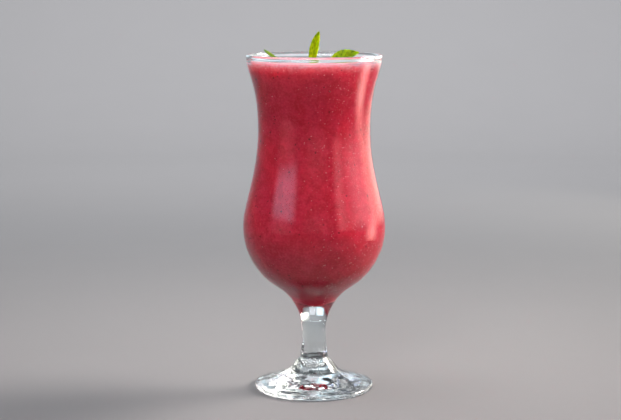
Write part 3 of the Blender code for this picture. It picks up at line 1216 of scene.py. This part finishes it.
# Camera of the photo, with its pitch in degrees and its lens and sensor in millimetres
CAMERA_PLACE = (-0.00214, -0.92, 0.2438)
CAMERA_PITCH = 8.417
CAMERA_LENS = 90.54
CAMERA_SENSOR = 36

# In the solid foot and stem light is turned back many times before it comes out
LIGHT_BOUNCES = 32
GLASS_BOUNCES = 24


class SMOOTHIE_OT_studio(bpy.types.Operator):
    """Lays the floor and backdrop, hangs the lamps and sets up the camera"""

    bl_idname = "smoothie.studio"
    bl_label = "Studio"

    def execute(self, context):
        studio = context.scene.smoothie_studio
        radii = [studio.floor_radius * (ring / FLOOR_RINGS) for ring in range(FLOOR_RINGS + 1)]
        outline = [Vector((radius, -FLOOR_GAP)) for radius in radii]
        bend = (studio.floor_radius, BACKDROP_BEND - FLOOR_GAP)
        outline += arc(bend, BACKDROP_BEND, -90, 0, BACKDROP_BEND_POINTS)[1:]
        outline.append(Vector((studio.floor_radius + BACKDROP_BEND, BACKDROP_TOP)))
        mesh = turned("studio_floor", outline, FLOOR_STEPS)
        floor = new_piece("studio_floor", mesh, studio_paper(studio))

        world = bpy.data.worlds.new("studio_daylight")
        world.use_nodes = True
        sky = world.node_tree.nodes["Background"]
        sky.inputs["Color"].default_value = (*studio.daylight, 1.0)
        sky.inputs["Strength"].default_value = studio.daylight_strength
        context.scene.world = world

        for lamp in LAMPS:
            add_lamp(*lamp)
        for name, radiance, azimuth in WALL_LAMPS:
            high = around(azimuth, *WALL_LAMP_PLACE)
            low = around(azimuth, *WALL_LAMP_AIM)
            add_lamp(name, radiance, "#FFFFFF", WALL_LAMP_SIZE, high, low, WALL_LAMP_SPREAD)

        camera = bpy.data.objects.new("camera", bpy.data.cameras.new("camera"))
        camera.location = CAMERA_PLACE
        camera.rotation_euler = (math.radians(90 - CAMERA_PITCH), 0, 0)
        camera.data.sensor_width = CAMERA_SENSOR
        camera.data.lens = CAMERA_LENS
        context.scene.collection.objects.link(camera)
        context.scene.camera = camera
        context.scene.view_settings.view_transform = "Standard"
        context.scene.cycles.max_bounces = LIGHT_BOUNCES
        context.scene.cycles.glossy_bounces = GLASS_BOUNCES
        context.scene.cycles.transmission_bounces = GLASS_BOUNCES
        return {"FINISHED"}


class SMOOTHIE_PT_sidebar(bpy.types.Panel):
    """Settings and buttons for the smoothie"""

    bl_idname = "SMOOTHIE_PT_sidebar"
    bl_label = "Strawberry Smoothie"
    bl_space_type = "VIEW_3D"
    bl_region_type = "UI"
    bl_category = "Smoothie"

    def draw(self, context):
        for title, name, _, operators in GROUPS:
            box = self.layout.box()
            box.label(text=title)
            settings = getattr(context.scene, name)
            for setting in settings.bl_rna.properties:
                if setting.identifier not in {"rna_type", "name"}:
                    box.prop(settings, setting.identifier)
            for operator in operators:
                box.operator(operator.bl_idname)


GROUPS = (
    ("Glass", "smoothie_glass", GlassSettings, (SMOOTHIE_OT_glass,)),
    (
        "Drink",
        "smoothie_drink",
        DrinkSettings,
        (SMOOTHIE_OT_drink, SMOOTHIE_OT_seeds, SMOOTHIE_OT_bubbles, SMOOTHIE_OT_froth),
    ),
    ("Mint", "smoothie_mint", MintSettings, (SMOOTHIE_OT_mint,)),
    ("Studio", "smoothie_studio", StudioSettings, (SMOOTHIE_OT_studio,)),
)


def register():
    for _, name, settings, operators in GROUPS:
        bpy.utils.register_class(settings)
        setattr(bpy.types.Scene, name, PointerProperty(type=settings))
        for operator in operators:
            bpy.utils.register_class(operator)
    bpy.utils.register_class(SMOOTHIE_PT_sidebar)


def unregister():
    bpy.utils.unregister_class(SMOOTHIE_PT_sidebar)
    for _, name, settings, operators in reversed(GROUPS):
        for operator in reversed(operators):
            bpy.utils.unregister_class(operator)
        delattr(bpy.types.Scene, name)
        bpy.utils.unregister_class(settings)


def main():
    register()
    bpy.ops.smoothie.glass()
    bpy.ops.smoothie.drink()
    bpy.ops.smoothie.seeds()
    bpy.ops.smoothie.bubbles()
    bpy.ops.smoothie.froth()
    bpy.ops.smoothie.mint()
    bpy.ops.smoothie.studio()


if __name__ == "__main__":
    main()
